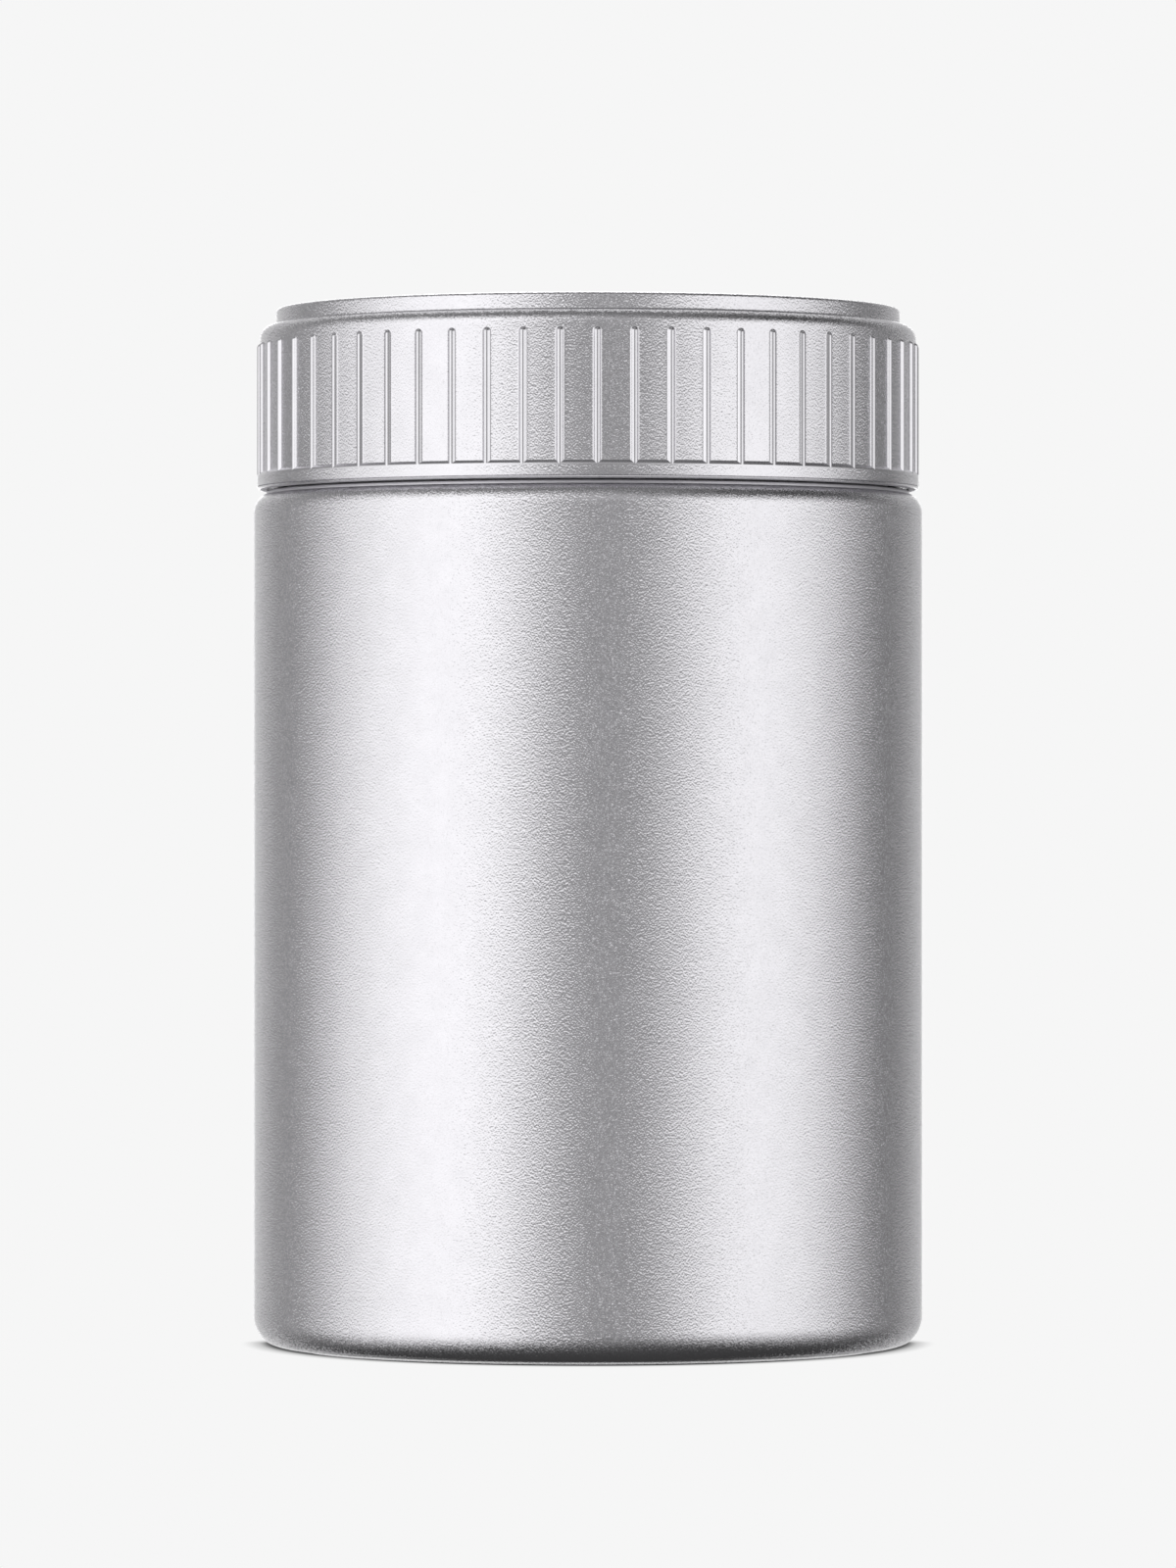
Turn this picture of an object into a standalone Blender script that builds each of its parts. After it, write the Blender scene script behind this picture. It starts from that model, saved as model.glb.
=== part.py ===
"""Straight-sided plastic jar with a flush, ribbed, double-wall screw cap.

The jar stands on Z = 0 with its axis on Z, and one rib of the cap lies at RIB_PHASE
from the front (-Y). Four pieces: jar_body, cap_shell, cap_insert and cap_liner.
The cap unscrews about Z and climbs THREAD_LEAD for each turn.
"""

import math

import bmesh
import bpy
from mathutils import Matrix

MM = 0.001

# ---- jar body ----
BODY_RADIUS = 52.0 * MM
BODY_WALL = 1.4 * MM
HEEL_RADIUS = 4.9 * MM
SHOULDER_HEIGHT = 133.45 * MM
SHOULDER_RADIUS = 3.5 * MM
STAND_RING_INNER = 44.8 * MM
PUSH_UP_RADIUS = 41.5 * MM
PUSH_UP_EDGE = 1.6 * MM
PUSH_UP_HEIGHT = 3.0 * MM
FLOOR_THICKNESS = 1.7 * MM

# ---- neck ----
NECK_RADIUS = 46.7 * MM
NECK_WALL = 1.7 * MM
RIM_HEIGHT = 154.95 * MM
NECK_FOOT_FILLET = 0.5 * MM
NECK_INNER_FILLET = 1.5 * MM

# ---- screw thread, single start, right hand ----
THREAD_LEAD = 5.08 * MM
THREAD_DEPTH = 1.2 * MM
THREAD_ROOT_HALF = 1.1 * MM
THREAD_CREST_HALF = 0.5 * MM
NECK_THREAD_TOP = 152.4 * MM
NECK_THREAD_TURNS = 1.5
INSERT_THREAD_TURNS = 1.25
THREAD_AXIAL_OFFSET = 1.8 * MM
THREAD_FADE = math.radians(25.0)
THREAD_TOP_ANGLE = math.radians(200.0)

# ---- outer shell of the cap ----
CAP_BOTTOM = 133.75 * MM
CAP_PANEL_RADIUS = 51.02 * MM
CAP_BAND_RADIUS = 51.47 * MM
CAP_EDGE_ROUND = 0.55 * MM
LEDGE_TOP = 136.5 * MM
LEDGE_BOTTOM = 135.85 * MM
CAP_SHOULDER_HEIGHT = 159.6 * MM
CAP_SHOULDER_RADIUS = 2.42 * MM
DISC_RADIUS = 48.52 * MM
DISC_TOP = 161.6 * MM
DISC_EDGE_ROUND = 0.3 * MM
SHELL_INNER_RADIUS = 49.6 * MM
SHELL_TOP_WALL = 1.4 * MM
SHELL_SHOULDER_UNDERSIDE = 158.15 * MM
DISC_HOLLOW_RADIUS = 47.1 * MM
SNAP_BEAD_RADIUS = 48.95 * MM
SNAP_BEAD_BOTTOM = 134.0 * MM
SNAP_BEAD_TOP = 134.85 * MM

# ---- grip ribs ----
RIB_COUNT = 57
RIB_PHASE = math.radians(1.56)
RIB_ROUND = 0.926 * MM
RIB_CREST_RADIUS = 51.48 * MM
RIB_TOP_CENTRE = 155.6 * MM
RIB_FOOT = 134.9 * MM

# ---- threaded insert of the cap ----
INSERT_OUTER_RADIUS = 49.3 * MM
INSERT_ROOT_RADIUS = 48.2 * MM
INSERT_TOP = 157.85 * MM
INSERT_UNDERSIDE = 156.55 * MM
INSERT_BOTTOM = 135.15 * MM
INSERT_CORNER = 0.6 * MM
LINER_BEAD_RADIUS = 47.35 * MM
LINER_BEAD_BOTTOM = 154.1 * MM
LINER_BEAD_TOP = 154.95 * MM

# ---- drive dogs between the shell and the insert ----
DOG_COUNT = 12
DOG_INNER = 42.5 * MM
DOG_INSERT_OUTER = 46.3 * MM
DOG_SHELL_OUTER = 47.5 * MM
DOG_HALF_WIDTH = 5.3 * MM
DOG_GAP = 0.3 * MM

# ---- sealing liner ----
LINER_RADIUS = 47.7 * MM
LINER_BOTTOM = 155.25 * MM
LINER_TOP = 156.25 * MM

# ---- facets of the turned shapes ----
BODY_STEPS = 60
SHELL_STEPS = RIB_COUNT
INSERT_STEPS = 60
LINER_STEPS = 48
THREAD_STEP = math.radians(7.5)


def clear_scene():
    for obj in list(bpy.data.objects):
        bpy.data.objects.remove(obj, do_unlink=True)
    for collection in list(bpy.data.collections):
        bpy.data.collections.remove(collection)


def new_collection(name):
    collection = bpy.data.collections.new(name)
    bpy.context.scene.collection.children.link(collection)
    return collection


def plastic(name, color, metallic, roughness):
    material = bpy.data.materials.new(name)
    material.use_nodes = True
    shader = material.node_tree.nodes["Principled BSDF"]
    shader.inputs["Base Color"].default_value = (*color, 1.0)
    shader.inputs["Metallic"].default_value = metallic
    shader.inputs["Roughness"].default_value = roughness
    material.diffuse_color = (*color, 1.0)
    material.metallic = metallic
    material.roughness = roughness
    return material


def arc(centre_r, centre_z, radius, start, end, steps):
    """Points on an arc in the (radius, height) plane, angles in degrees from +r."""
    points = []
    for i in range(steps + 1):
        a = math.radians(start + (end - start) * i / steps)
        points.append((centre_r + radius * math.cos(a), centre_z + radius * math.sin(a)))
    return points


def turned(name, profile, steps, collection):
    """A solid of revolution about Z. The profile runs down its outer side."""
    mesh = bpy.data.meshes.new(name)
    mesh.from_pydata(
        [(r, 0.0, z) for r, z in profile],
        [(i, i + 1) for i in range(len(profile) - 1)],
        [],
    )
    obj = bpy.data.objects.new(name, mesh)
    collection.objects.link(obj)
    screw = obj.modifiers.new("Turn", "SCREW")
    screw.axis = "Z"
    screw.angle = 2 * math.pi
    screw.steps = steps
    screw.render_steps = steps
    screw.use_merge_vertices = True
    screw.merge_threshold = 0.000001
    screw.use_smooth_shade = True
    return obj


def helper(name, mesh, collection):
    """An object that only shapes another one: never rendered, drawn as wire."""
    obj = bpy.data.objects.new(name, mesh)
    collection.objects.link(obj)
    obj.hide_render = True
    obj.display_type = "WIRE"
    return obj


def join_with(obj, other):
    union = obj.modifiers.new("Join " + other.name, "BOOLEAN")
    union.operation = "UNION"
    union.solver = "EXACT"
    union.object = other


# ---------------------------------------------------------------- profiles


def push_up(height):
    """The domed middle of the base, as (radius, height) from its edge to the axis."""
    points = []
    for share in (1.0, 0.7, 0.35, 0.0):
        points.append(
            (
                PUSH_UP_RADIUS * share,
                height + (PUSH_UP_HEIGHT - PUSH_UP_EDGE) * (1 - share * share),
            )
        )
    return points


def jar_profile():
    neck_inner = NECK_RADIUS - NECK_WALL
    shoulder_r = BODY_RADIUS - SHOULDER_RADIUS
    shoulder_z = SHOULDER_HEIGHT - SHOULDER_RADIUS
    heel_r = BODY_RADIUS - HEEL_RADIUS
    inner_shoulder = SHOULDER_RADIUS - BODY_WALL
    corner_r = neck_inner + NECK_INNER_FILLET
    corner_z = shoulder_z + inner_shoulder + NECK_INNER_FILLET
    points = []
    # inside: the floor from the axis outwards, then up the wall and the neck
    points += reversed(push_up(PUSH_UP_EDGE + FLOOR_THICKNESS))
    points += [(PUSH_UP_RADIUS + 1.6 * MM, 2.6 * MM), (PUSH_UP_RADIUS + 3.4 * MM, 1.55 * MM)]
    points += arc(heel_r, HEEL_RADIUS, HEEL_RADIUS - BODY_WALL, -90, 0, 4)
    points += arc(shoulder_r, shoulder_z, inner_shoulder, 0, 90, 3)
    points += arc(corner_r, corner_z, NECK_INNER_FILLET, 270, 180, 3)
    # the rim, with its inner and outer edges rounded
    points += arc(neck_inner + 0.4 * MM, RIM_HEIGHT - 0.4 * MM, 0.4 * MM, 180, 90, 2)
    points += arc(NECK_RADIUS - 0.5 * MM, RIM_HEIGHT - 0.5 * MM, 0.5 * MM, 90, 0, 2)
    # outside: down the neck, over the shoulder and down the wall to the base
    points += arc(
        NECK_RADIUS + NECK_FOOT_FILLET,
        SHOULDER_HEIGHT + NECK_FOOT_FILLET,
        NECK_FOOT_FILLET,
        180,
        270,
        2,
    )
    points += arc(shoulder_r, shoulder_z, SHOULDER_RADIUS, 90, 0, 5)
    points += arc(heel_r, HEEL_RADIUS, HEEL_RADIUS, 0, -90, 5)
    # underneath: the stand ring and the raised middle of the base
    points += [
        (STAND_RING_INNER, 0.0),
        (STAND_RING_INNER - 1.2 * MM, 0.3 * MM),
        (STAND_RING_INNER - 2.1 * MM, 1.0 * MM),
    ]
    points += push_up(PUSH_UP_EDGE)
    return points


def shell_profile():
    band = CAP_BAND_RADIUS
    top_inside = DISC_TOP - SHELL_TOP_WALL
    points = [(0.0, DISC_TOP)]
    points += arc(
        DISC_RADIUS - DISC_EDGE_ROUND, DISC_TOP - DISC_EDGE_ROUND, DISC_EDGE_ROUND, 90, 0, 2
    )
    points.append((DISC_RADIUS, CAP_SHOULDER_HEIGHT))
    points += arc(
        CAP_PANEL_RADIUS - CAP_SHOULDER_RADIUS,
        CAP_SHOULDER_HEIGHT - CAP_SHOULDER_RADIUS,
        CAP_SHOULDER_RADIUS,
        90,
        0,
        5,
    )
    points += [(CAP_PANEL_RADIUS, LEDGE_TOP), (band, LEDGE_BOTTOM)]
    points += arc(
        band - CAP_EDGE_ROUND, CAP_BOTTOM + CAP_EDGE_ROUND, CAP_EDGE_ROUND, 0, -90, 3
    )
    points += [
        (SHELL_INNER_RADIUS + 0.3 * MM, CAP_BOTTOM),
        (SHELL_INNER_RADIUS, SNAP_BEAD_BOTTOM),
        (SNAP_BEAD_RADIUS, SNAP_BEAD_BOTTOM + 0.3 * MM),
        (SNAP_BEAD_RADIUS, SNAP_BEAD_TOP - 0.3 * MM),
        (SHELL_INNER_RADIUS, SNAP_BEAD_TOP),
        (SHELL_INNER_RADIUS, SHELL_SHOULDER_UNDERSIDE - 0.4 * MM),
        (SHELL_INNER_RADIUS - 0.4 * MM, SHELL_SHOULDER_UNDERSIDE),
        (DISC_HOLLOW_RADIUS, SHELL_SHOULDER_UNDERSIDE),
        (DISC_HOLLOW_RADIUS, top_inside),
        (0.0, top_inside),
    ]
    return points


def insert_profile():
    points = [(0.0, INSERT_TOP)]
    points += arc(
        INSERT_OUTER_RADIUS - INSERT_CORNER, INSERT_TOP - INSERT_CORNER, INSERT_CORNER, 90, 0, 2
    )
    points += [
        (INSERT_OUTER_RADIUS, INSERT_BOTTOM + 0.3 * MM),
        (INSERT_OUTER_RADIUS - 0.3 * MM, INSERT_BOTTOM),
        (INSERT_ROOT_RADIUS + 0.3 * MM, INSERT_BOTTOM),
        (INSERT_ROOT_RADIUS, INSERT_BOTTOM + 0.5 * MM),
        (INSERT_ROOT_RADIUS, LINER_BEAD_BOTTOM),
        (LINER_BEAD_RADIUS, LINER_BEAD_BOTTOM + 0.35 * MM),
        (LINER_BEAD_RADIUS, LINER_BEAD_TOP - 0.2 * MM),
        (INSERT_ROOT_RADIUS, LINER_BEAD_TOP),
        (INSERT_ROOT_RADIUS, INSERT_UNDERSIDE),
        (0.0, INSERT_UNDERSIDE),
    ]
    return points


def liner_profile():
    return [
        (0.0, LINER_TOP),
        (LINER_RADIUS - 0.1 * MM, LINER_TOP),
        (LINER_RADIUS, LINER_TOP - 0.15 * MM),
        (LINER_RADIUS, LINER_BOTTOM + 0.15 * MM),
        (LINER_RADIUS - 0.1 * MM, LINER_BOTTOM),
        (0.0, LINER_BOTTOM),
    ]


# ---------------------------------------------------------------- threads


def thread_mesh(name, root_radius, crest_radius, top_angle, top_height, turns):
    """A right-hand thread ridge: a trapezoid carried down a helix from its top end.

    Its foot is sunk into the wall, and both ends fade into it.
    """
    outward = 1.0 if crest_radius > root_radius else -1.0
    sunk = root_radius - outward * 0.6 * MM
    hidden = root_radius - outward * 0.2 * MM
    slope = (THREAD_ROOT_HALF - THREAD_CREST_HALF) / abs(crest_radius - root_radius)
    length = turns * 2 * math.pi
    count = max(8, round(length / THREAD_STEP))
    bm = bmesh.new()
    rings = []
    for i in range(count + 1):
        along = length * i / count
        fade = min(1.0, along / THREAD_FADE, (length - along) / THREAD_FADE)
        fade = fade * fade * (3 - 2 * fade)
        crest = hidden + (crest_radius - hidden) * fade
        angle = top_angle - along
        height = top_height - THREAD_LEAD * along / (2 * math.pi)
        foot_half = THREAD_ROOT_HALF + slope * abs(sunk - root_radius)
        section = [
            (sunk, -foot_half),
            (crest, -THREAD_CREST_HALF),
            (crest, THREAD_CREST_HALF),
            (sunk, foot_half),
        ]
        rings.append(
            [
                bm.verts.new((r * math.cos(angle), r * math.sin(angle), height + z))
                for r, z in section
            ]
        )
    for a, b in zip(rings, rings[1:]):
        for k in range(4):
            bm.faces.new((a[k], a[(k + 1) % 4], b[(k + 1) % 4], b[k]))
    bm.faces.new(rings[0])
    bm.faces.new(rings[-1])
    bmesh.ops.recalc_face_normals(bm, faces=bm.faces)
    mesh = bpy.data.meshes.new(name)
    bm.to_mesh(mesh)
    bm.free()
    return mesh


# ---------------------------------------------------------------- ribs and dogs


def rib_mesh(name):
    """All grip ribs as upright beads with domed tops, half sunk into the cap's wall."""
    bm = bmesh.new()
    for i in range(RIB_COUNT):
        angle = -math.pi / 2 + RIB_PHASE + 2 * math.pi * i / RIB_COUNT
        made = bmesh.ops.create_uvsphere(bm, u_segments=8, v_segments=4, radius=RIB_ROUND)
        verts = made["verts"]
        for v in verts:
            if v.co.z < -0.1 * RIB_ROUND:
                v.co.z -= RIB_TOP_CENTRE - RIB_FOOT
        place = (
            Matrix.Rotation(angle, 4, "Z")
            @ Matrix.Translation((RIB_CREST_RADIUS - RIB_ROUND, 0.0, RIB_TOP_CENTRE))
        )
        bmesh.ops.transform(bm, matrix=place, verts=verts)
    mesh = bpy.data.meshes.new(name)
    bm.to_mesh(mesh)
    bm.free()
    return mesh


def dog_mesh(name, outer, low, high, first_angle):
    """A ring of drive blocks, each a box between DOG_INNER and outer."""
    bm = bmesh.new()
    for i in range(DOG_COUNT):
        angle = first_angle + 2 * math.pi * i / DOG_COUNT
        made = bmesh.ops.create_cube(bm, size=1.0)
        place = (
            Matrix.Rotation(angle, 4, "Z")
            @ Matrix.Translation(((DOG_INNER + outer) / 2, 0.0, (low + high) / 2))
            @ Matrix.Diagonal((outer - DOG_INNER, 2 * DOG_HALF_WIDTH, high - low, 1.0))
        )
        bmesh.ops.transform(bm, matrix=place, verts=made["verts"])
    mesh = bpy.data.meshes.new(name)
    bm.to_mesh(mesh)
    bm.free()
    return mesh


def main():
    clear_scene()
    parts = new_collection("plastic_jar")
    helpers = new_collection("plastic_jar_helpers")

    silver = plastic("satin_silver_coat", (0.62, 0.62, 0.64), 1.0, 0.38)
    natural = plastic("white_insert_plastic", (0.86, 0.86, 0.84), 0.0, 0.42)
    foam = plastic("white_liner_foam", (0.90, 0.90, 0.88), 0.0, 0.70)

    # jar body with its neck thread
    jar = turned("jar_body", jar_profile(), BODY_STEPS, parts)
    neck_thread = helper(
        "neck_thread",
        thread_mesh(
            "neck_thread",
            NECK_RADIUS,
            NECK_RADIUS + THREAD_DEPTH,
            THREAD_TOP_ANGLE,
            NECK_THREAD_TOP,
            NECK_THREAD_TURNS,
        ),
        helpers,
    )
    join_with(jar, neck_thread)
    jar.data.materials.append(silver)

    # outer shell: ribs outside, drive dogs under the raised disc
    shell = turned("cap_shell", shell_profile(), SHELL_STEPS, parts)
    shell.rotation_euler = (0.0, 0.0, RIB_PHASE - math.pi / 2)
    ribs = helper("grip_ribs", rib_mesh("grip_ribs"), helpers)
    join_with(shell, ribs)
    shell_dogs = helper(
        "shell_dogs",
        dog_mesh(
            "shell_dogs",
            DOG_SHELL_OUTER,
            SHELL_SHOULDER_UNDERSIDE,
            DISC_TOP - SHELL_TOP_WALL / 2,
            math.pi / DOG_COUNT,
        ),
        helpers,
    )
    join_with(shell, shell_dogs)
    shell.data.materials.append(silver)

    # threaded insert, snapped into the shell
    insert = turned("cap_insert", insert_profile(), INSERT_STEPS, parts)
    insert_thread = helper(
        "insert_thread",
        thread_mesh(
            "insert_thread",
            INSERT_ROOT_RADIUS,
            INSERT_ROOT_RADIUS - THREAD_DEPTH,
            THREAD_TOP_ANGLE,
            NECK_THREAD_TOP - THREAD_AXIAL_OFFSET,
            INSERT_THREAD_TURNS,
        ),
        helpers,
    )
    join_with(insert, insert_thread)
    insert_dogs = helper(
        "insert_dogs",
        dog_mesh(
            "insert_dogs",
            DOG_INSERT_OUTER,
            INSERT_TOP - 0.6 * MM,
            DISC_TOP - SHELL_TOP_WALL - DOG_GAP,
            0.0,
        ),
        helpers,
    )
    join_with(insert, insert_dogs)
    insert.data.materials.append(natural)

    # sealing liner, loose under the insert's top
    liner = turned("cap_liner", liner_profile(), LINER_STEPS, parts)
    liner.data.materials.append(foam)

    # the cap's motion: the liner rises, and the cap turns on the same axis
    lift = bpy.data.objects.new("cap_lift_axis", None)
    turn = bpy.data.objects.new("cap_turn_axis", None)
    for empty in (lift, turn):
        parts.objects.link(empty)
    turn.parent = lift
    liner.parent = lift
    shell.parent = turn
    insert.parent = turn


main()
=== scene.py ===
"""Satin silver storage jar with a ribbed screw cap, in a pale studio.

The finished surfaces are built here at full fineness around the fixed frame: turned
skins made ring by ring, with the grip ribs, the ledge and both screw threads raised
out of the same skin as a height over it.
"""

import math

import bmesh
import bpy
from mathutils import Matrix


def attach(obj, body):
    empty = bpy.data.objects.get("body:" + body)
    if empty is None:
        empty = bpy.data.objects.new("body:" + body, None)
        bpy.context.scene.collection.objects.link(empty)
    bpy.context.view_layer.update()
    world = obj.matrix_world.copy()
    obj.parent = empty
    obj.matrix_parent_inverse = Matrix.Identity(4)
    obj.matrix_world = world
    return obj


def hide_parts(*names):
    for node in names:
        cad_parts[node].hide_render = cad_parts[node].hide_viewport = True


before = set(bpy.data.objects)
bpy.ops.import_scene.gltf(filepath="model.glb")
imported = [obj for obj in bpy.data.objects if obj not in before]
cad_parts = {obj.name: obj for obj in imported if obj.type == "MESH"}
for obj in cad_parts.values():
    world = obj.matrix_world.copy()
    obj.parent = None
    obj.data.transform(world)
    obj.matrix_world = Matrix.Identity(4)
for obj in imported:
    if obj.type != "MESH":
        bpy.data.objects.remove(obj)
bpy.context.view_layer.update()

MM = 0.001
TURN = 2 * math.pi


# ---------------------------------------------------------------- skins made of rings


class Skin:
    """Rings of points about Z, in millimetres, joined into one closed surface."""

    def __init__(self):
        self.points = []
        self.angles = []
        self.grain = []
        self.dull = []
        self.faces = []
        self.slots = []

    def point(self, r, angle, z, grain=1.0, dull=0.0):
        self.points.append((r * math.cos(angle), r * math.sin(angle), z))
        self.angles.append(angle)
        self.grain.append(grain)
        self.dull.append(dull)
        return len(self.points) - 1

    def ring(self, angles, r, z, grain=1.0, dull=0.0):
        """One ring. r, z and grain are numbers, or functions of the column's index."""
        made = []
        for i, angle in enumerate(angles):
            made.append(
                self.point(
                    r(i) if callable(r) else r,
                    angle,
                    z(i) if callable(z) else z,
                    grain(i) if callable(grain) else grain,
                    dull,
                )
            )
        return made

    def band(self, upper, lower, slot=0):
        """Four-sided faces between two rings with the same columns."""
        n = len(upper)
        for i in range(n):
            k = (i + 1) % n
            self.faces.append((upper[i], upper[k], lower[k], lower[i]))
            self.slots.append(slot)

    def creased_band(self, upper, lower, middle, slot=0):
        """Triangles between two rings, cut along the diagonal that lies on the surface."""
        n = len(upper)
        for i in range(n):
            k = (i + 1) % n
            a, b, c, d = upper[i], upper[k], lower[k], lower[i]
            true = middle(i, k)
            one = self.height(a, c)
            two = self.height(b, d)
            if abs(one - true) <= abs(two - true):
                self.faces += [(a, b, c), (a, c, d)]
            else:
                self.faces += [(a, b, d), (b, c, d)]
            self.slots += [slot, slot]

    def height(self, a, b):
        (ax, ay, _), (bx, by, _) = self.points[a], self.points[b]
        return (math.hypot(ax, ay) + math.hypot(bx, by)) / 2

    def fan(self, centre, ring, slot=0):
        n = len(ring)
        for i in range(n):
            self.faces.append((centre, ring[i], ring[(i + 1) % n]))
            self.slots.append(slot)

    def stitch(self, first, second, slot=0):
        """Triangles between two rings with different columns."""
        a0 = self.angles[first[0]]
        gaps = [math.remainder(self.angles[p] - a0, TURN) for p in second]
        start = min(range(len(second)), key=lambda j: abs(gaps[j]))
        second = second[start:] + second[:start]
        n, m = len(first), len(second)
        a = [a0 + (self.angles[first[i % n]] - a0) % TURN + (TURN if i == n else 0) for i in range(n + 1)]
        b0 = a0 + gaps[start]
        b = [b0 + (self.angles[second[j % m]] - b0) % TURN + (TURN if j == m else 0) for j in range(m + 1)]
        i = j = 0
        while i < n or j < m:
            if j >= m or (i < n and a[i + 1] <= b[j + 1]):
                self.faces.append((first[i], first[(i + 1) % n], second[j % m]))
                i += 1
            else:
                self.faces.append((first[i % n], second[(j + 1) % m], second[j]))
                j += 1
            self.slots.append(slot)

    def build(self, name, materials, sharp=32.0):
        mesh = bpy.data.meshes.new(name)
        mesh.from_pydata([(x * MM, y * MM, z * MM) for x, y, z in self.points], [], self.faces)
        mesh.polygons.foreach_set("material_index", self.slots)
        for material in materials:
            mesh.materials.append(material)
        for key, values in (("grain", self.grain), ("dull", self.dull)):
            attribute = mesh.attributes.new(key, "FLOAT", "POINT")
            attribute.data.foreach_set("value", values)
        bm = bmesh.new()
        bm.from_mesh(mesh)
        bmesh.ops.recalc_face_normals(bm, faces=bm.faces)
        bm.to_mesh(mesh)
        bm.free()
        mesh.shade_smooth()
        mesh.set_sharp_from_angle(angle=math.radians(sharp))
        obj = bpy.data.objects.new(name, mesh)
        bpy.context.scene.collection.objects.link(obj)
        return obj


def even(count, first=0.0):
    return [first + TURN * i / count for i in range(count)]


def arc(centre_r, centre_z, radius, start, end, steps):
    made = []
    for i in range(steps + 1):
        a = math.radians(start + (end - start) * i / steps)
        made.append((centre_r + radius * math.cos(a), centre_z + radius * math.sin(a)))
    return made


def oval(centre_r, centre_z, half_r, half_z, start, end, steps):
    made = []
    for i in range(steps + 1):
        a = math.radians(start + (end - start) * i / steps)
        made.append((centre_r + half_r * math.cos(a), centre_z + half_z * math.sin(a)))
    return made


def curve(p0, t0, p1, t1, steps):
    """A smooth line from p0 to p1 that leaves along t0 and arrives along t1."""
    made = []
    for i in range(steps + 1):
        s = i / steps
        h = (2 * s**3 - 3 * s**2 + 1, s**3 - 2 * s**2 + s, -2 * s**3 + 3 * s**2, s**3 - s**2)
        made.append(tuple(h[0] * p0[k] + h[1] * t0[k] + h[2] * p1[k] + h[3] * t1[k] for k in (0, 1)))
    return made


def smooth(t):
    t = max(0.0, min(1.0, t))
    return t * t * (3 - 2 * t)


# ---------------------------------------------------------------- grip ribs and ledge

PANEL = 51.02
RIBS = 57
RIB_PHASE = math.radians(1.56)
RIB_TOP = 155.66
LEDGE = 135.65

CREST_R, FLANK, SLOPE, FOOT_R = 0.48, 0.27, math.radians(48.0), 0.30
D1 = CREST_R * math.sin(SLOPE)
D2 = D1 + FLANK * math.cos(SLOPE)
D3 = D2 + FOOT_R * math.sin(SLOPE)
DROP1 = CREST_R * (1 - math.cos(SLOPE))
DROP2 = DROP1 + FLANK * math.sin(SLOPE)
RISE = DROP2 + FOOT_R * (1 - math.cos(SLOPE))


def rise(d):
    """Height over the panel at distance d from the middle line of a rib."""
    if d >= D3:
        return 0.0
    if d <= D1:
        return RISE - (CREST_R - math.sqrt(CREST_R**2 - d * d))
    if d <= D2:
        return RISE - DROP1 - (d - D1) * math.tan(SLOPE)
    return FOOT_R - math.sqrt(FOOT_R**2 - (D3 - d) ** 2)


STEPS = [CREST_R * math.sin(math.radians(b)) for b in (0, 8, 16, 24, 32, 40, 48)]
STEPS += [(D1 + D2) / 2]
STEPS += [D3 - FOOT_R * math.sin(math.radians(b)) for b in (48, 40, 32, 24, 16, 8, 0)]


def from_rib(u, z):
    along = math.hypot(u, z - RIB_TOP) if z > RIB_TOP else abs(u)
    return min(along, max(0.0, z - LEDGE))


def rib_columns():
    """Angles of the fine columns, and each one's distance from its rib's middle."""
    angles, offsets = [], []
    half = math.pi * PANEL / RIBS
    across = [-2.1, -1.3] + [-d for d in reversed(STEPS[1:])] + STEPS + [1.3, 2.1, half]
    for i in range(RIBS):
        middle = -math.pi / 2 + RIB_PHASE + TURN * i / RIBS
        for u in across:
            angles.append(middle + u / PANEL)
            offsets.append(u)
    return angles, offsets


# ---------------------------------------------------------------- screw threads

LEAD = 5.08
THREAD_TOP_ANGLE = math.radians(200.0)
THREAD_FADE = math.radians(25.0)


def thread_height(angle, z, top, turns):
    """0 to 1: how far a right-hand ridge stands out at this angle and height."""
    best = 0.0
    length = turns * TURN
    along = (THREAD_TOP_ANGLE - angle) % TURN
    while along <= length:
        centre = top - LEAD * along / TURN
        s = smooth((1.12 - abs(z - centre)) / 0.66)
        fade = smooth(min(1.0, along / THREAD_FADE, (length - along) / THREAD_FADE))
        best = max(best, s * fade)
        along += TURN
    return best


# ---------------------------------------------------------------- materials


def node(tree, kind, **inputs):
    made = tree.nodes.new(kind)
    for key, value in inputs.items():
        made.inputs[key.replace("_", " ")].default_value = value
    return made


def new_material(name):
    material = bpy.data.materials.new(name)
    material.use_nodes = True
    tree = material.node_tree
    return material, tree, tree.nodes["Principled BSDF"]


def grain_height(tree, scale, detail=1.0, distortion=0.0):
    """A fine noise over the object, scale given per metre along X, Y and Z."""
    where = tree.nodes.new("ShaderNodeTexCoord")
    mapping = tree.nodes.new("ShaderNodeMapping")
    mapping.inputs["Scale"].default_value = scale
    noise = tree.nodes.new("ShaderNodeTexNoise")
    noise.inputs["Scale"].default_value = 1.0
    noise.inputs["Detail"].default_value = detail
    noise.inputs["Roughness"].default_value = 0.5
    noise.inputs["Distortion"].default_value = distortion
    tree.links.new(where.outputs["Object"], mapping.inputs["Vector"])
    tree.links.new(mapping.outputs["Vector"], noise.inputs["Vector"])
    return noise.outputs["Fac"]


def remap(tree, value, low, high):
    made = tree.nodes.new("ShaderNodeMapRange")
    made.inputs["To Min"].default_value = low
    made.inputs["To Max"].default_value = high
    tree.links.new(value, made.inputs["Value"])
    return made.outputs["Result"]


def vector(tree, operation, first, second=None, scale=None):
    made = tree.nodes.new("ShaderNodeVectorMath")
    made.operation = operation
    tree.links.new(first, made.inputs[0])
    if second is not None:
        tree.links.new(second, made.inputs[1])
    if scale is not None:
        tree.links.new(scale, made.inputs["Scale"])
    return made.outputs[0]


SILVER = (0.655, 0.646, 0.672)


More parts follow.
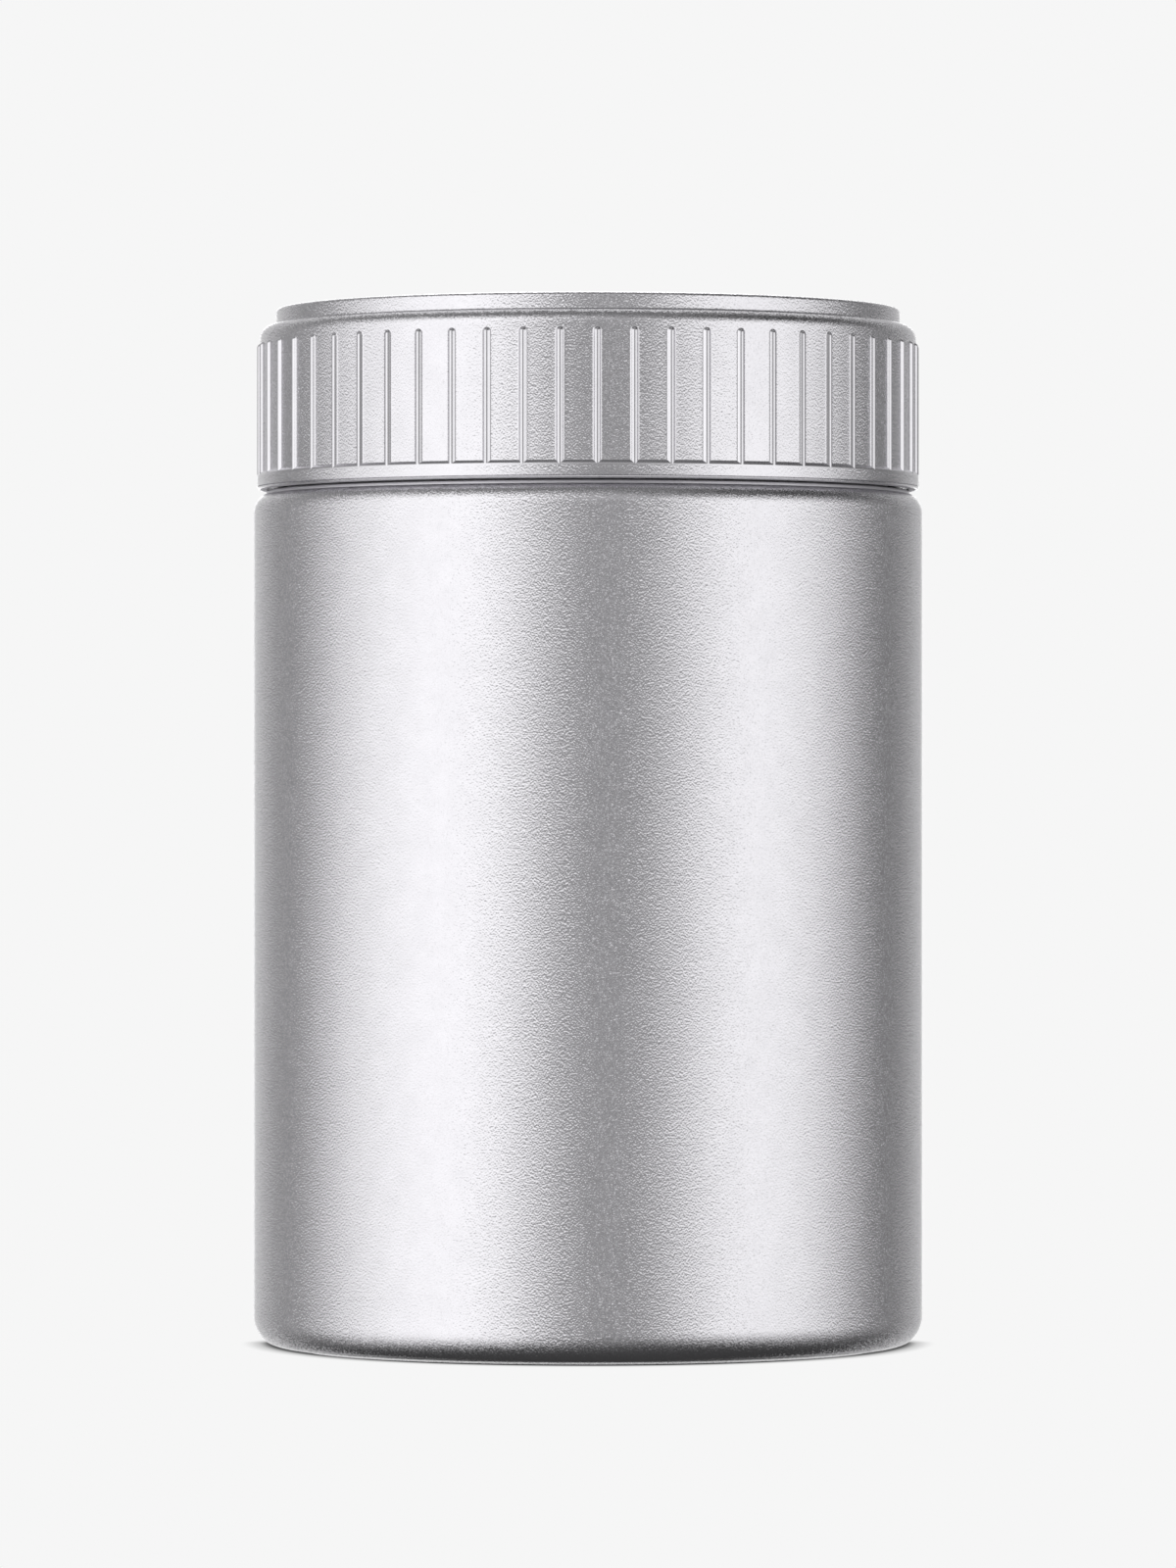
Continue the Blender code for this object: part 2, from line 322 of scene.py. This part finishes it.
def silver_material():
    """Satin metallic coat with a fine leathery grain, calmer on the ribs."""
    material, tree, shader = new_material("silver_coat_grained")
    shader.inputs["Metallic"].default_value = 1.0
    # slight cloudiness of the sprayed metal pigment
    cloud = grain_height(tree, (260, 260, 260), 3.0)
    ramp = tree.nodes.new("ShaderNodeValToRGB")
    ramp.color_ramp.elements[0].position = 0.30
    ramp.color_ramp.elements[0].color = (*(c * 0.975 for c in SILVER), 1.0)
    ramp.color_ramp.elements[1].position = 0.70
    ramp.color_ramp.elements[1].color = (*(c * 1.02 for c in SILVER), 1.0)
    tree.links.new(cloud, ramp.inputs["Fac"])
    tree.links.new(ramp.outputs["Color"], shader.inputs["Base Color"])
    fine = grain_height(tree, (5200, 5200, 5200), 1.0)
    # drier and duller where the spray hardly reaches, under the cap's edge
    dull = tree.nodes.new("ShaderNodeAttribute")
    dull.attribute_name = "dull"
    matt = tree.nodes.new("ShaderNodeMath")
    matt.operation = "MULTIPLY_ADD"
    matt.inputs[1].default_value = 0.38
    tree.links.new(dull.outputs["Fac"], matt.inputs[0])
    tree.links.new(remap(tree, fine, 0.18, 0.27), matt.inputs[2])
    tree.links.new(matt.outputs[0], shader.inputs["Roughness"])
    # grain: short flat ripples that tilt the surface by a few degrees each way
    amount = tree.nodes.new("ShaderNodeAttribute")
    amount.attribute_name = "grain"
    where = tree.nodes.new("ShaderNodeTexCoord")
    ripples = []
    for shift in (0.42, -0.42):
        mapping = tree.nodes.new("ShaderNodeMapping")
        mapping.inputs["Scale"].default_value = (4000.0, 4000.0, 4500.0)
        mapping.inputs["Location"].default_value = (0.0, 0.0, shift)
        noise = tree.nodes.new("ShaderNodeTexNoise")
        noise.inputs["Scale"].default_value = 1.0
        noise.inputs["Detail"].default_value = 0.0
        tree.links.new(where.outputs["Object"], mapping.inputs["Vector"])
        tree.links.new(mapping.outputs["Vector"], noise.inputs["Vector"])
        ripples.append(noise.outputs["Color"])
    tilt = vector(tree, "SUBTRACT", ripples[0], ripples[1])
    flatter = tree.nodes.new("ShaderNodeVectorMath")
    flatter.operation = "MULTIPLY"
    flatter.inputs[1].default_value = (1.0, 1.0, 0.55)
    tree.links.new(tilt, flatter.inputs[0])
    tilt = flatter.outputs[0]
    strength = tree.nodes.new("ShaderNodeMath")
    strength.operation = "MULTIPLY"
    strength.inputs[1].default_value = 0.46
    tree.links.new(amount.outputs["Fac"], strength.inputs[0])
    tilt = vector(tree, "SCALE", tilt, scale=strength.outputs[0])
    surface = tree.nodes.new("ShaderNodeNewGeometry")
    tilted = vector(tree, "NORMALIZE", vector(tree, "ADD", surface.outputs["Normal"], tilt))
    tree.links.new(tilted, shader.inputs["Normal"])
    return material


def moulded_material(name, color, roughness, bump_mm):
    """Uncoated moulded plastic: slightly uneven gloss and a faint orange peel."""
    material, tree, shader = new_material(name)
    cloud = grain_height(tree, (180, 180, 180), 2.0)
    ramp = tree.nodes.new("ShaderNodeValToRGB")
    ramp.color_ramp.elements[0].position = 0.3
    ramp.color_ramp.elements[0].color = (*(c * 0.97 for c in color), 1.0)
    ramp.color_ramp.elements[1].position = 0.7
    ramp.color_ramp.elements[1].color = (*color, 1.0)
    tree.links.new(cloud, ramp.inputs["Fac"])
    tree.links.new(ramp.outputs["Color"], shader.inputs["Base Color"])
    fine = grain_height(tree, (2400, 2400, 2400), 2.0)
    tree.links.new(remap(tree, fine, roughness - 0.05, roughness + 0.05), shader.inputs["Roughness"])
    peel = grain_height(tree, (700, 700, 700), 2.0)
    bump = tree.nodes.new("ShaderNodeBump")
    bump.inputs["Distance"].default_value = bump_mm * MM
    tree.links.new(peel, bump.inputs["Height"])
    tree.links.new(bump.outputs["Normal"], shader.inputs["Normal"])
    return material


def foam_material():
    """Closed-cell foam sheet: small round cells under a matt skin."""
    material, tree, shader = new_material("liner_foam_cells")
    where = tree.nodes.new("ShaderNodeTexCoord")
    cells = tree.nodes.new("ShaderNodeTexVoronoi")
    cells.inputs["Scale"].default_value = 2600.0
    tree.links.new(where.outputs["Object"], cells.inputs["Vector"])
    ramp = tree.nodes.new("ShaderNodeValToRGB")
    ramp.color_ramp.elements[0].position = 0.0
    ramp.color_ramp.elements[0].color = (0.80, 0.80, 0.77, 1.0)
    ramp.color_ramp.elements[1].position = 0.5
    ramp.color_ramp.elements[1].color = (0.90, 0.90, 0.88, 1.0)
    tree.links.new(cells.outputs["Distance"], ramp.inputs["Fac"])
    tree.links.new(ramp.outputs["Color"], shader.inputs["Base Color"])
    shader.inputs["Roughness"].default_value = 0.72
    bump = tree.nodes.new("ShaderNodeBump")
    bump.inputs["Distance"].default_value = 0.00006
    tree.links.new(cells.outputs["Distance"], bump.inputs["Height"])
    tree.links.new(bump.outputs["Normal"], shader.inputs["Normal"])
    return material


# ---------------------------------------------------------------- the four pieces


def turned(skin, profile, angles, slot=0, grain=1.0, start=None, dull=None):
    """Adds rings along a profile and joins them. Returns the last ring."""
    previous = start
    for r, z in profile:
        ring = skin.ring(angles, r, z, grain, dull(r) if dull else 0.0)
        if previous is not None:
            skin.band(previous, ring, slot)
        previous = ring
    return previous


def make_jar(coat, plastic):
    skin = Skin()
    angles = even(320)
    # inside, in uncoated plastic: floor, wall, neck
    centre = skin.point(0.0, 0.0, 4.7)
    floor = [(r, 3.3 + 1.4 * (1 - (r / 41.5) ** 2)) for r in (8, 16, 24, 31, 37, 41.5)]
    inside = floor + curve((41.5, 3.3), (5.0, -1.9), (47.1, 1.4), (4.0, 0.0), 8)[1:]
    inside += arc(47.1, 4.9, 3.5, -90, 0, 12)[1:]
    inside += [(50.6, z) for z in (30.0, 60.0, 90.0, 115.0)]
    inside += arc(48.5, 129.95, 2.1, 0, 90, 8)
    inside += arc(46.5, 133.55, 1.5, 270, 180, 8)
    inside += [(45.0, z) for z in (140.0, 148.0)]
    inside += arc(45.4, 154.55, 0.4, 180, 90, 6)
    ring = skin.ring(angles, *inside[0])
    skin.fan(centre, ring, 1)
    ring = turned(skin, inside[1:], angles, 1, 0.3, ring)
    # outside, coated: rim, neck with its thread
    ring = turned(skin, arc(46.2, 154.45, 0.5, 90, 0, 6), angles, 0, 0.25, ring)
    z = 153.75
    while z > 143.2:
        ridge = [thread_height(a, z, 152.4, 1.5) for a in angles]
        lower = skin.ring(angles, lambda i: 46.7 + 1.2 * ridge[i], z, 0.25)
        skin.band(ring, lower, 0)
        ring = lower
        z -= 0.16
    ring = turned(skin, [(46.7, 139.0)] + arc(47.2, 134.06, 0.5, 180, 270, 6), angles, 0, 0.4, ring, lambda r: 1.0)
    # shoulder, wall and heel
    step = curve((48.9, 133.56), (0.8, 0.0), (49.95, 133.26), (0.2, -0.16), 6)
    step += [(49.98, 133.19), (50.06, 132.86), (50.11, 132.82)]
    ring = turned(skin, step, angles, 0, 0.3, ring, lambda r: smooth((49.97 - r) / 0.1) * 0.6 + 0.4)
    shoulder = arc(48.5, 129.87, 3.5, 54, 0, 18)
    ring = turned(skin, shoulder, angles, 0, 1.0, ring, lambda r: 0.3 * smooth((50.8 - r) / 0.3))
    ring = turned(skin, [(52.0, z) for z in (110.0, 90.0, 70.0, 50.0, 30.0, 14.0)], angles, 0, 1.0, ring)
    ring = turned(skin, arc(46.8, 5.4, 5.2, 0, -52, 22), angles, 0, 1.0, ring)
    # underneath: stand ring and the raised middle
    base = curve((50.001, 1.302), (-1.3, -1.01), (48.25, 0.65), (-0.8, -0.125), 10)[1:]
    base += curve((48.25, 0.65), (-3.5, -0.54), (44.66, 0.13), (-3.5, -0.45), 10)[1:]
    base += [(44.54, 0.10), (44.47, 0.07), (44.42, 0.03), (44.39, 0.0)]
    base += curve((43.0, 0.0), (-0.8, 0.0), (41.8, 0.9), (-0.2, 1.0), 6)
    base += curve((41.8, 0.9), (-0.2, 0.8), (41.0, 1.62), (-1.1, 0.05), 5)[1:]
    base += [(r, 1.6 + 1.4 * (1 - (r / 41.5) ** 2)) for r in (38, 31, 24, 16, 8, 3.2)]
    base += [(2.9, 2.86), (1.3, 2.86), (1.0, 2.99)]
    ring = turned(skin, base, angles, 0, 0.35, ring)
    skin.fan(skin.point(0.0, 0.0, 3.02), ring, 0)
    return skin.build("jar_body_skin", [coat, plastic])


def make_shell(coat):
    skin = Skin()
    fine, offsets = rib_columns()
    coarse = even(RIBS * 8, -math.pi / 2 + RIB_PHASE)
    middle = even(96)
    # disc: a small gate mark in the centre, a flat top and a rounded edge
    centre = skin.point(0.0, 0.0, 161.60, 0.4)
    ring = skin.ring(middle, 0.4, 161.60, 0.4)
    skin.fan(centre, ring)
    top = [(0.75, 161.58), (0.95, 161.57), (2.0, 161.57), (2.15, 161.575), (2.35, 161.625), (2.5, 161.64), (2.62, 161.65)]
    top += [(r, 161.65) for r in (2.8, 8.0, 16.0, 26.0, 38.0, 44.0)]
    ring = turned(skin, top, middle, 0, 0.5, ring)
    ring = turned(skin, [(46.5, 161.65)], middle, 0, 0.7, ring)
    edge = arc(47.95, 161.08, 0.57, 90, 0, 10)
    lower = skin.ring(coarse, *edge[0])
    skin.stitch(ring, lower)
    ring = turned(skin, edge[1:], coarse, 0, 1.0, lower)
    # disc wall, its foot, and the cap's shoulder
    foot = [(48.52, 159.40), (48.53, 159.28), (48.57, 159.18), (48.64, 159.10), (48.75, 159.05), (48.95, 159.03)]
    ring = turned(skin, foot, coarse, 0, 1.0, ring)
    ring = turned(skin, curve((49.25, 159.03), (0.4, 0.0), (49.948, 158.892), (0.3, -0.207), 5), coarse, 0, 1.0, ring)
    ring = turned(skin, oval(48.02, 157.0, 3.0, 2.47, 48, 0, 17), coarse, 0, 1.0, ring)

    def row(z):
        return skin.ring(
            fine,
            lambda i: PANEL + rise(from_rib(offsets[i], z)),
            z,
            lambda i: 0.12 + 0.88 * smooth((from_rib(offsets[i], z) - 0.45) / 0.4),
        )

    heights = [RIB_TOP + d for d in reversed(STEPS)] + [149.0, 142.5]
    heights += [LEDGE + d for d in reversed(STEPS)]
    before, upper = heights[0], row(heights[0])
    skin.stitch(ring, upper)
    n = len(fine)
    for z in heights[1:]:
        lower = row(z)

        def between(i, k, z=(before + z) / 2):
            u = offsets[k] if offsets[k] > offsets[i] else offsets[k] + TURN * PANEL / RIBS
            return PANEL + rise(from_rib((offsets[i] + u) / 2, z))

        skin.creased_band(upper, lower, between)
        before, upper = z, lower
    # plain band, a hairline parting groove and the cap's lower edge
    band = PANEL + RISE
    ring = skin.ring(coarse, band, 135.35)
    skin.stitch(upper, ring)
    lip = [(band, 134.40), (band, 134.10), (band, 134.045)]
    lip += [(band - 0.24, 134.02), (band - 0.26, 133.98), (band - 0.24, 133.94), (band - 0.065, 133.915)]
    lip += oval(band - 0.45, 134.26, 0.45, 0.64, -35, -84, 9)
    ring = turned(skin, lip, coarse, 0, 0.5, ring)
    under = [(50.85, 133.61), (50.5, 133.59), (50.1, 133.57)]
    ring = turned(skin, under, coarse, 0, 0.3, ring, lambda r: 1.0)
    # inside: lead-in, snap bead, wall, and the hollow of the disc with its drive dogs
    inner, dog = dog_columns(math.pi / 12)
    lower = skin.ring(inner, 49.95, 133.62, 0.3, 1.0)
    skin.stitch(ring, lower)
    bead = [(49.65, 134.0), (48.98, 134.27), (48.95, 134.42), (48.98, 134.57), (49.6, 134.85)]
    ring = turned(skin, bead + [(49.6, 157.75), (49.2, 158.15), (47.1, 158.15)], inner, 0, 0.3, lower)
    for r in (47.06, 42.56):
        lower = skin.ring(inner, r, lambda i: 158.15 if dog[i] else 160.2, 0.3)
        skin.band(ring, lower)
        ring = lower
    ring = turned(skin, [(42.5, 160.2), (20.0, 160.2)], inner, 0, 0.3, ring)
    skin.fan(skin.point(0.0, 0.0, 160.2), ring)
    return skin.build("cap_shell_skin", [coat])


def dog_columns(first):
    """Columns of a ring with 12 drive dogs, doubled at each dog's sides."""
    steps = (-6.95, -6.75, -3.4, 0.0, 3.4, 6.75, 6.95, 9.6, 12.3, 15.0, 17.7, 20.4)
    angles, raised = [], []
    for i in range(12):
        for s in steps:
            angles.append(first + math.radians(30.0 * i + s))
            raised.append(abs(s) < 6.8)
    return angles, raised


def make_insert(plastic):
    skin = Skin()
    outer, dog = dog_columns(0.0)
    inner = even(240)
    ring = skin.ring(outer, 18.0, 157.85)
    skin.fan(skin.point(0.0, 0.0, 157.85), ring)
    ring = turned(skin, [(42.5, 157.85)], outer, 0, 1.0, ring)
    for r in (42.56, 46.24):
        lower = skin.ring(outer, r, lambda i: 159.9 if dog[i] else 157.85)
        skin.band(ring, lower)
        ring = lower
    ring = turned(skin, [(46.3, 157.85)] + arc(48.7, 157.25, 0.6, 90, 0, 5), outer, 0, 1.0, ring)
    ring = turned(skin, [(49.3, 135.45), (49.22, 135.22), (49.0, 135.15)], outer, 0, 1.0, ring)
    lower = skin.ring(inner, 48.6, 135.15)
    skin.stitch(ring, lower)
    ring = turned(skin, [(48.38, 135.22), (48.2, 135.6)], inner, 0, 1.0, lower)
    z = 142.6
    while z < 152.2:
        ridge = [thread_height(a, z, 150.6, 1.25) for a in inner]
        upper = skin.ring(inner, lambda i: 48.2 - 1.2 * ridge[i], z)
        skin.band(ring, upper)
        ring = upper
        z += 0.17
    # bead that holds the liner, and the liner's seat
    seat = [(48.2, 154.05), (48.05, 154.12), (47.45, 154.4), (47.35, 154.55), (47.38, 154.7), (47.9, 154.92), (48.2, 155.0)]
    seat += [(48.2, 156.3)] + [(47.95, 156.55), (30.0, 156.55), (12.0, 156.55)]
    ring = turned(skin, seat, inner, 0, 1.0, ring)
    skin.fan(skin.point(0.0, 0.0, 156.55), ring)
    return skin.build("cap_insert_skin", [plastic])


def make_liner(foam):
    skin = Skin()
    angles = even(192)
    ring = skin.ring(angles, 20.0, 156.25)
    skin.fan(skin.point(0.0, 0.0, 156.25), ring)
    profile = [(40.0, 156.25)] + arc(47.55, 156.10, 0.15, 90, 0, 4) + arc(47.55, 155.40, 0.15, 0, -90, 4)
    # the rim of the jar leaves a shallow ring in the underside
    profile += [(46.95, 155.25), (46.75, 155.30), (46.45, 155.33), (45.55, 155.33), (45.2, 155.30), (44.9, 155.25)]
    profile += [(30.0, 155.25), (12.0, 155.25)]
    ring = turned(skin, profile, angles, 0, 1.0, ring)
    skin.fan(skin.point(0.0, 0.0, 155.25), ring)
    return skin.build("cap_liner_skin", [foam])


silver = silver_material()
white = moulded_material("insert_white_moulded", (0.86, 0.86, 0.84), 0.40, 0.006)
natural = moulded_material("jar_inner_plastic", (0.82, 0.82, 0.80), 0.36, 0.010)
foam = foam_material()

jar = make_jar(silver, natural)
shell = make_shell(silver)
insert = make_insert(white)
liner = make_liner(foam)

for piece, body, node_name, slot in (
    (jar, "jar", "jar_body", "silver_coat"),
    (shell, "cap", "cap_shell", "silver_coat"),
    (insert, "cap", "cap_insert", "insert_plastic"),
    (liner, "liner", "cap_liner", "liner_foam"),
):
    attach(piece, body)
    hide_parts(node_name)


# ---------------------------------------------------------------- camera

# 1 px of the 1600 px high frame is 0.15257 mm on the jar's axis
FOCAL_PX = 9117.0
camera_data = bpy.data.cameras.new("camera")
camera_data.sensor_width = 36.0
camera_data.lens = FOCAL_PX / 1600.0 * 36.0
camera_data.shift_y = 46.4 / 1600.0
camera_data.clip_start = 0.05
camera_data.clip_end = 60.0
camera = bpy.data.objects.new("camera", camera_data)
camera.location = (0.0, -1.39097, 0.08080)
camera.rotation_euler = (math.radians(90.0), 0.0, 0.0)
bpy.context.scene.collection.objects.link(camera)
bpy.context.scene.camera = camera


# ---------------------------------------------------------------- studio

PALE = 0.9216  # the ground and the backdrop as the camera sees them


class Sums:
    """Small arithmetic on shader values."""

    def __init__(self, tree):
        self.tree = tree

    def put(self, value, socket):
        if isinstance(value, (int, float)):
            socket.default_value = value
        else:
            self.tree.links.new(value, socket)

    def math(self, operation, a, b=0.0, clamp=False):
        made = self.tree.nodes.new("ShaderNodeMath")
        made.operation = operation
        made.use_clamp = clamp
        self.put(a, made.inputs[0])
        self.put(b, made.inputs[1])
        return made.outputs[0]

    def edge(self, value, middle, width):
        """0 to 1, smoothly, over a width about the middle."""
        made = self.tree.nodes.new("ShaderNodeMapRange")
        made.interpolation_type = "SMOOTHSTEP"
        made.inputs["From Min"].default_value = middle - width / 2
        made.inputs["From Max"].default_value = middle + width / 2
        self.put(value, made.inputs["Value"])
        return made.outputs["Result"]

    def below(self, value, middle, width):
        return self.math("SUBTRACT", 1.0, self.edge(value, middle, width))

    def product(self, *values):
        total = values[0]
        for value in values[1:]:
            total = self.math("MULTIPLY", total, value)
        return total

    def total(self, *values):
        made = values[0]
        for value in values[1:]:
            made = self.math("ADD", made, value)
        return made


def make_studio():
    """Two tall soft panels in front, left and right, a strip overhead and a bright backdrop."""
    world = bpy.data.worlds.new("studio")
    bpy.context.scene.world = world
    world.use_nodes = True
    tree = world.node_tree
    tree.nodes.clear()
    s = Sums(tree)
    where = tree.nodes.new("ShaderNodeTexCoord")
    parts = tree.nodes.new("ShaderNodeSeparateXYZ")
    tree.links.new(where.outputs["Generated"], parts.inputs[0])
    x, y, z = parts.outputs
    # azimuth 0 faces the front (-Y), + towards +X; elevation above the horizon; degrees
    azimuth = s.math("MULTIPLY", s.math("ARCTAN2", x, s.math("MULTIPLY", y, -1.0)), 180 / math.pi)
    around = s.math("ABSOLUTE", azimuth)
    height = s.math("MULTIPLY", s.math("ARCSINE", z), 180 / math.pi)
    gain = 1 / SILVER[0]

    def lobe(value, middle, width):
        t = s.math("DIVIDE", s.math("SUBTRACT", value, middle), width)
        return s.math("EXPONENT", s.math("MULTIPLY", s.math("MULTIPLY", t, t), -1.0))

    base = s.total(s.product(s.below(height, 15.2, 6.0), 0.026), s.product(s.below(height, -50.0, 40.0), 0.012))
    front = s.product(
        lobe(azimuth, 0.0, 59.6),
        s.total(
            s.product(s.below(height, 68.3, 20.7), s.edge(height, 16.3, 50.0), 0.219),
            s.product(s.below(height, -22.0, 24.0), s.edge(height, -78.0, 28.0), 0.02),
        ),
    )
    left = s.product(
        s.total(
            s.product(s.below(azimuth, -19.8, 35.4), s.edge(azimuth, -108.0, 56.2), 0.508),
            s.product(lobe(azimuth, -47.0, 50.2), 0.424),
        ),
        s.below(height, 44.4, 37.6),
        s.edge(height, -41.4, 53.1),
    )
    right = s.product(
        s.total(
            s.product(s.edge(azimuth, 30.3, 48.3), s.below(azimuth, 104.8, 56.9), 0.589),
            s.product(lobe(azimuth, 55.0, 32.4), 0.293),
        ),
        s.below(height, 28.7, 36.1),
        s.edge(height, -28.3, 56.7),
    )
    up = s.math("MAXIMUM", z, 0.001)
    across = s.math("ABSOLUTE", s.math("DIVIDE", x, up))
    along = s.math("DIVIDE", y, up)
    offset = s.math("ABSOLUTE", s.math("SUBTRACT", along, 0.564))
    behind = s.math("SUBTRACT", along, 0.705)
    aside = s.math("SQRT", s.total(s.product(across, across), s.product(behind, behind)))
    strip = s.product(
        s.total(
            s.product(s.below(across, 0.585, 0.95), s.below(offset, 0.349, 1.999), 0.55),
            s.product(s.below(aside, 0.56, 0.28), 0.34),
        ),
        s.edge(z, 0.1, 0.1),
    )
    back = s.product(
        s.total(
            s.product(s.edge(around, 138.1, 56.6), s.edge(height, -17.8, 20.3), 0.483),
            s.product(s.edge(around, 172.3, 6.1), s.edge(height, -5.5, 6.0), 2.0),
        ),
        s.below(height, 47.8, 8.2),
        s.total(1.0, s.product(s.edge(azimuth, 0.0, 60.0), -0.13)),
    )
    low = s.below(s.math("ABSOLUTE", s.math("ADD", height, 25.9)), 8.9, 17.8)
    gap = s.total(1.0, s.product(s.edge(around, 170.5, 9.0), s.below(height, -15.0, 5.0), -0.98))
    under = s.total(
        s.product(s.edge(around, 146.7, 52.3), low, gap, 0.373),
        s.product(s.edge(around, 168.0, 14.0), s.below(s.math("ABSOLUTE", s.math("ADD", height, 12.0)), 3.2, 6.4), 0.26),
    )
    light = s.math("MULTIPLY", s.total(base, front, left, right, strip, back, under), gain)

    path = tree.nodes.new("ShaderNodeLightPath")
    seen = tree.nodes.new("ShaderNodeMix")
    seen.data_type = "FLOAT"
    tree.links.new(path.outputs["Is Camera Ray"], seen.inputs[0])
    tree.links.new(light, seen.inputs[2])
    seen.inputs[3].default_value = PALE
    background = tree.nodes.new("ShaderNodeBackground")
    background.inputs["Color"].default_value = (1.0, 1.0, 1.0, 1.0)
    tree.links.new(seen.outputs[0], background.inputs["Strength"])
    output = tree.nodes.new("ShaderNodeOutputWorld")
    tree.links.new(background.outputs[0], output.inputs["Surface"])


def make_ground():
    """A pale ground with a painted contact shadow where the jar's foot stands close over it, and a painted glowing
    ring that shows only in reflections.
    """
    bm = bmesh.new()
    bmesh.ops.create_grid(bm, x_segments=1, y_segments=1, size=4.0)
    mesh = bpy.data.meshes.new("ground")
    bm.to_mesh(mesh)
    bm.free()
    ground = bpy.data.objects.new("ground", mesh)
    bpy.context.scene.collection.objects.link(ground)
    ground.location.z = -0.00002
    material = bpy.data.materials.new("ground_pale")
    material.use_nodes = True
    tree = material.node_tree
    tree.nodes.clear()
    s = Sums(tree)
    # painted shadow, shaped as if the light came from the front: the painted shade reaches further out from under the
    # foot at the sides
    where = tree.nodes.new("ShaderNodeTexCoord")
    distance = tree.nodes.new("ShaderNodeVectorMath")
    distance.operation = "LENGTH"
    tree.links.new(where.outputs["Object"], distance.inputs[0])
    radius = distance.outputs["Value"]
    parts = tree.nodes.new("ShaderNodeSeparateXYZ")
    tree.links.new(where.outputs["Object"], parts.inputs[0])
    turn = s.math("ADD", 1.0, s.math("DIVIDE", parts.outputs[1], s.math("MAXIMUM", radius, 0.001)))
    reach = s.math("MULTIPLY", s.math("POWER", s.math("MAXIMUM", turn, 0.0), 2.8), 0.0042)
    out = s.math("SUBTRACT", radius, s.math("MINIMUM", reach, 0.0088))
    # painted shadow: the ground's emission strength, dark close under the foot and pale further out
    outside_painted_shadow = s.total(s.product(s.edge(out, 0.0446, 0.0024), 0.47), s.product(s.edge(out, 0.0463, 0.005), 0.53))
    light = s.total(0.08, s.product(outside_painted_shadow, PALE - 0.08))
    shine = tree.nodes.new("ShaderNodeEmission")
    tree.links.new(light, shine.inputs["Strength"])
    # painted reflection: in reflections a ring of the ground around the jar glows with painted light, standing in for
    # floor under the studio lamps, where it is met steeply; at a shallow angle the glossy floor mirrors the studio,
    # and beyond the glowing ring it is dark
    slant = tree.nodes.new("ShaderNodeLayerWeight")
    slant.inputs["Blend"].default_value = 0.5
    painted_glow_ring = s.product(
        s.edge(radius, 0.073, 0.026), s.below(radius, 0.21, 0.04), s.below(slant.outputs["Facing"], 0.66, 0.24)
    )
    glow = tree.nodes.new("ShaderNodeEmission")
    glow.inputs["Strength"].default_value = 0.78
    clear = tree.nodes.new("ShaderNodeBsdfTransparent")
    mirrored = tree.nodes.new("ShaderNodeMixShader")
    tree.links.new(painted_glow_ring, mirrored.inputs[0])
    tree.links.new(clear.outputs[0], mirrored.inputs[1])
    tree.links.new(glow.outputs[0], mirrored.inputs[2])
    path = tree.nodes.new("ShaderNodeLightPath")
    seen = tree.nodes.new("ShaderNodeMixShader")
    tree.links.new(path.outputs["Is Camera Ray"], seen.inputs[0])
    tree.links.new(mirrored.outputs[0], seen.inputs[1])
    # from below the ground is clear, so that the underside of the jar can be looked at
    side = tree.nodes.new("ShaderNodeNewGeometry")
    above = tree.nodes.new("ShaderNodeMixShader")
    tree.links.new(side.outputs["Backfacing"], above.inputs[0])
    tree.links.new(shine.outputs[0], above.inputs[1])
    tree.links.new(clear.outputs[0], above.inputs[2])
    tree.links.new(above.outputs[0], seen.inputs[2])
    output = tree.nodes.new("ShaderNodeOutputMaterial")
    tree.links.new(seen.outputs[0], output.inputs["Surface"])
    mesh.materials.append(material)
    ground.visible_diffuse = False
    ground.visible_shadow = False


make_studio()
make_ground()

scene = bpy.context.scene
scene.view_settings.view_transform = "Standard"
scene.view_settings.look = "None"
